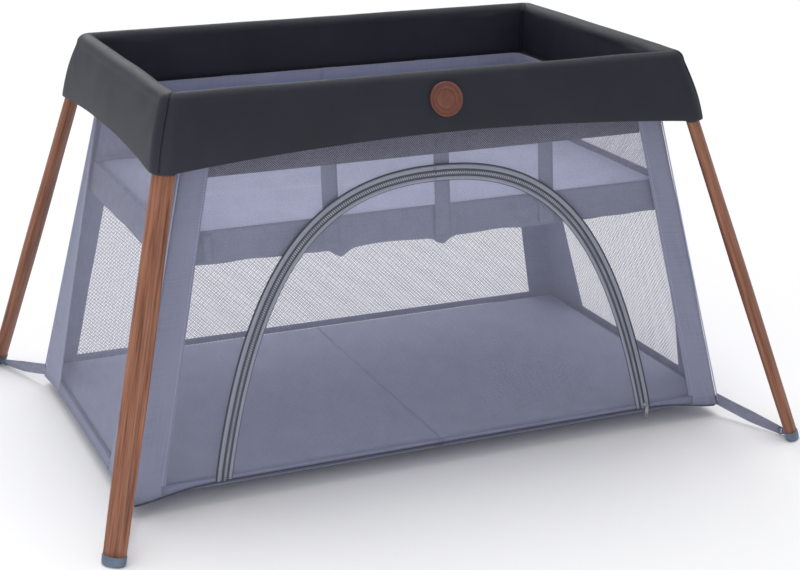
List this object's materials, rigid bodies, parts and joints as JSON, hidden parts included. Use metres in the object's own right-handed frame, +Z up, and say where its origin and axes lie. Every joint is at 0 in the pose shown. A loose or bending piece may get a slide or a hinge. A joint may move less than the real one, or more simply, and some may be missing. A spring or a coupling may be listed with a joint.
{
  "type": "folding playpen",
  "caption": "Folding playpen with a padded top rail on splayed wooden legs, a tapered mesh body with an arched zip door, and a hanging bassinet.",
  "frame": {"origin": "middle of the footprint on the floor, under the soles of the feet", "axes": "+X along the long rails to the right of the door, +Y to the back, +Z up"},
  "size_m": [1.1962, 0.9006, 0.64],
  "materials": {
    "aluminium": "satin",
    "nylon": "matt moulded",
    "steel": "satin",
    "foam": "open foam",
    "cover_fabric": "smooth padded polyester",
    "walnut": "satin grain",
    "foot_plastic": "matt moulded",
    "mesh_fabric": "woven mesh and ripstop",
    "floor_fabric": "woven",
    "mat_fabric": "woven",
    "bassinet_fabric": "woven",
    "webbing": "woven webbing",
    "leather": "embossed",
    "zip_metal": "satin"
  },
  "bodies": {
    "left_half": {"end_rail_left": "aluminium", "front_rail_left": "aluminium", "back_rail_left": "aluminium", "front_corner_left": "nylon", "back_corner_left": "nylon", "front_pad_left": "foam", "back_pad_left": "foam", "end_pad_left": "foam", "cover_left": "cover_fabric", "front_panel_left": "mesh_fabric", "back_panel_left": "mesh_fabric", "end_panel_left": "mesh_fabric", "floor_left": "floor_fabric", "mattress_left": "mat_fabric", "bassinet_base_left": "bassinet_fabric", "bassinet_wall_left": "bassinet_fabric", "strap_front_left": "webbing", "strap_back_left": "webbing"},
    "centre_hubs": {"front_hub": "nylon", "back_hub": "nylon", "front_hub_pin_left": "steel", "front_hub_pin_right": "steel", "back_hub_pin_left": "steel", "back_hub_pin_right": "steel", "leather_badge": "leather"},
    "right_half": {"end_rail_right": "aluminium", "front_rail_right": "aluminium", "back_rail_right": "aluminium", "front_corner_right": "nylon", "back_corner_right": "nylon", "front_pad_right": "foam", "back_pad_right": "foam", "end_pad_right": "foam", "cover_right": "cover_fabric", "front_panel_right": "mesh_fabric", "back_panel_right": "mesh_fabric", "end_panel_right": "mesh_fabric", "floor_right": "floor_fabric", "mattress_right": "mat_fabric", "bassinet_base_right": "bassinet_fabric", "bassinet_wall_right": "bassinet_fabric", "strap_front_right": "webbing", "strap_back_right": "webbing"},
    "front_left_leg": {"leg_front_left": "walnut", "leg_head_front_left": "nylon", "foot_front_left": "foot_plastic"},
    "front_right_leg": {"leg_front_right": "walnut", "leg_head_front_right": "nylon", "foot_front_right": "foot_plastic"},
    "back_left_leg": {"leg_back_left": "walnut", "leg_head_back_left": "nylon", "foot_back_left": "foot_plastic"},
    "back_right_leg": {"leg_back_right": "walnut", "leg_head_back_right": "nylon", "foot_back_right": "foot_plastic"},
    "left_door": {"door_left": "mesh_fabric"},
    "right_door": {"door_right": "mesh_fabric"},
    "front_button": {"front_release_button": "nylon"},
    "back_button": {"back_release_button": "nylon"},
    "zip_tab": {"zip_pull": "zip_metal"}
  },
  "joints": [
    {"name": "frame_fold_left", "type": "hinge", "parent": "left_half", "child": "centre_hubs", "pos_m": [-0.03, 0, 0.623], "axis": [0, -1, 0], "range_deg": [0, 90], "deforming": ["cover_left"]},
    {"name": "frame_fold_right", "type": "hinge", "parent": "centre_hubs", "child": "right_half", "pos_m": [0.03, 0, 0.623], "axis": [0, -1, 0], "range_deg": [0, 90], "deforming": ["cover_right"]},
    {"name": "front_left_leg_fold", "type": "hinge", "parent": "left_half", "child": "front_left_leg", "pos_m": [-0.42566, -0.26678, 0.59], "axis": [0.9527, 0.1136, -0.2818], "range_deg": [0, 88.8], "deforming": ["strap_front_left"]},
    {"name": "front_right_leg_fold", "type": "hinge", "parent": "right_half", "child": "front_right_leg", "pos_m": [0.42566, -0.26678, 0.59], "axis": [0.9527, -0.1136, 0.2818], "range_deg": [0, 88.8], "deforming": ["strap_front_right"]},
    {"name": "back_left_leg_fold", "type": "hinge", "parent": "left_half", "child": "back_left_leg", "pos_m": [-0.42566, 0.26678, 0.59], "axis": [-0.9678, -0.0078, 0.2516], "range_deg": [0, 79.4], "deforming": ["strap_back_left"]},
    {"name": "back_right_leg_fold", "type": "hinge", "parent": "right_half", "child": "back_right_leg", "pos_m": [0.42566, 0.26678, 0.59], "axis": [-0.9678, 0.0078, -0.2516], "range_deg": [0, 79.4], "deforming": ["strap_back_right"]},
    {"name": "door_drop_left", "type": "hinge", "parent": "left_half", "child": "left_door", "pos_m": [0, -0.2972, 0.03626], "axis": [1, 0, 0], "range_deg": [0, 95]},
    {"name": "door_drop_right", "type": "hinge", "parent": "right_half", "child": "right_door", "pos_m": [0, -0.2972, 0.03626], "axis": [1, 0, 0], "range_deg": [0, 95]},
    {"name": "front_button_press", "type": "slide", "parent": "centre_hubs", "child": "front_button", "axis": [0, 0, 1], "range_m": [0, 0.004], "stiffness_N_per_m": 600, "springref_m": -0.004},
    {"name": "back_button_press", "type": "slide", "parent": "centre_hubs", "child": "back_button", "axis": [0, 0, 1], "range_m": [0, 0.004], "stiffness_N_per_m": 600, "springref_m": -0.004},
    {"name": "zip_pull_swing", "type": "hinge", "parent": "right_half", "child": "zip_tab", "pos_m": [0.378, -0.30169, 0.039], "axis": [-1, 0, 0], "range_deg": [0, 150]}
  ],
  "couplings": [
    {"joint": "frame_fold_right", "follows": "frame_fold_left", "ratio": 1},
    {"joint": "door_drop_right", "follows": "door_drop_left", "ratio": 1}
  ]
}
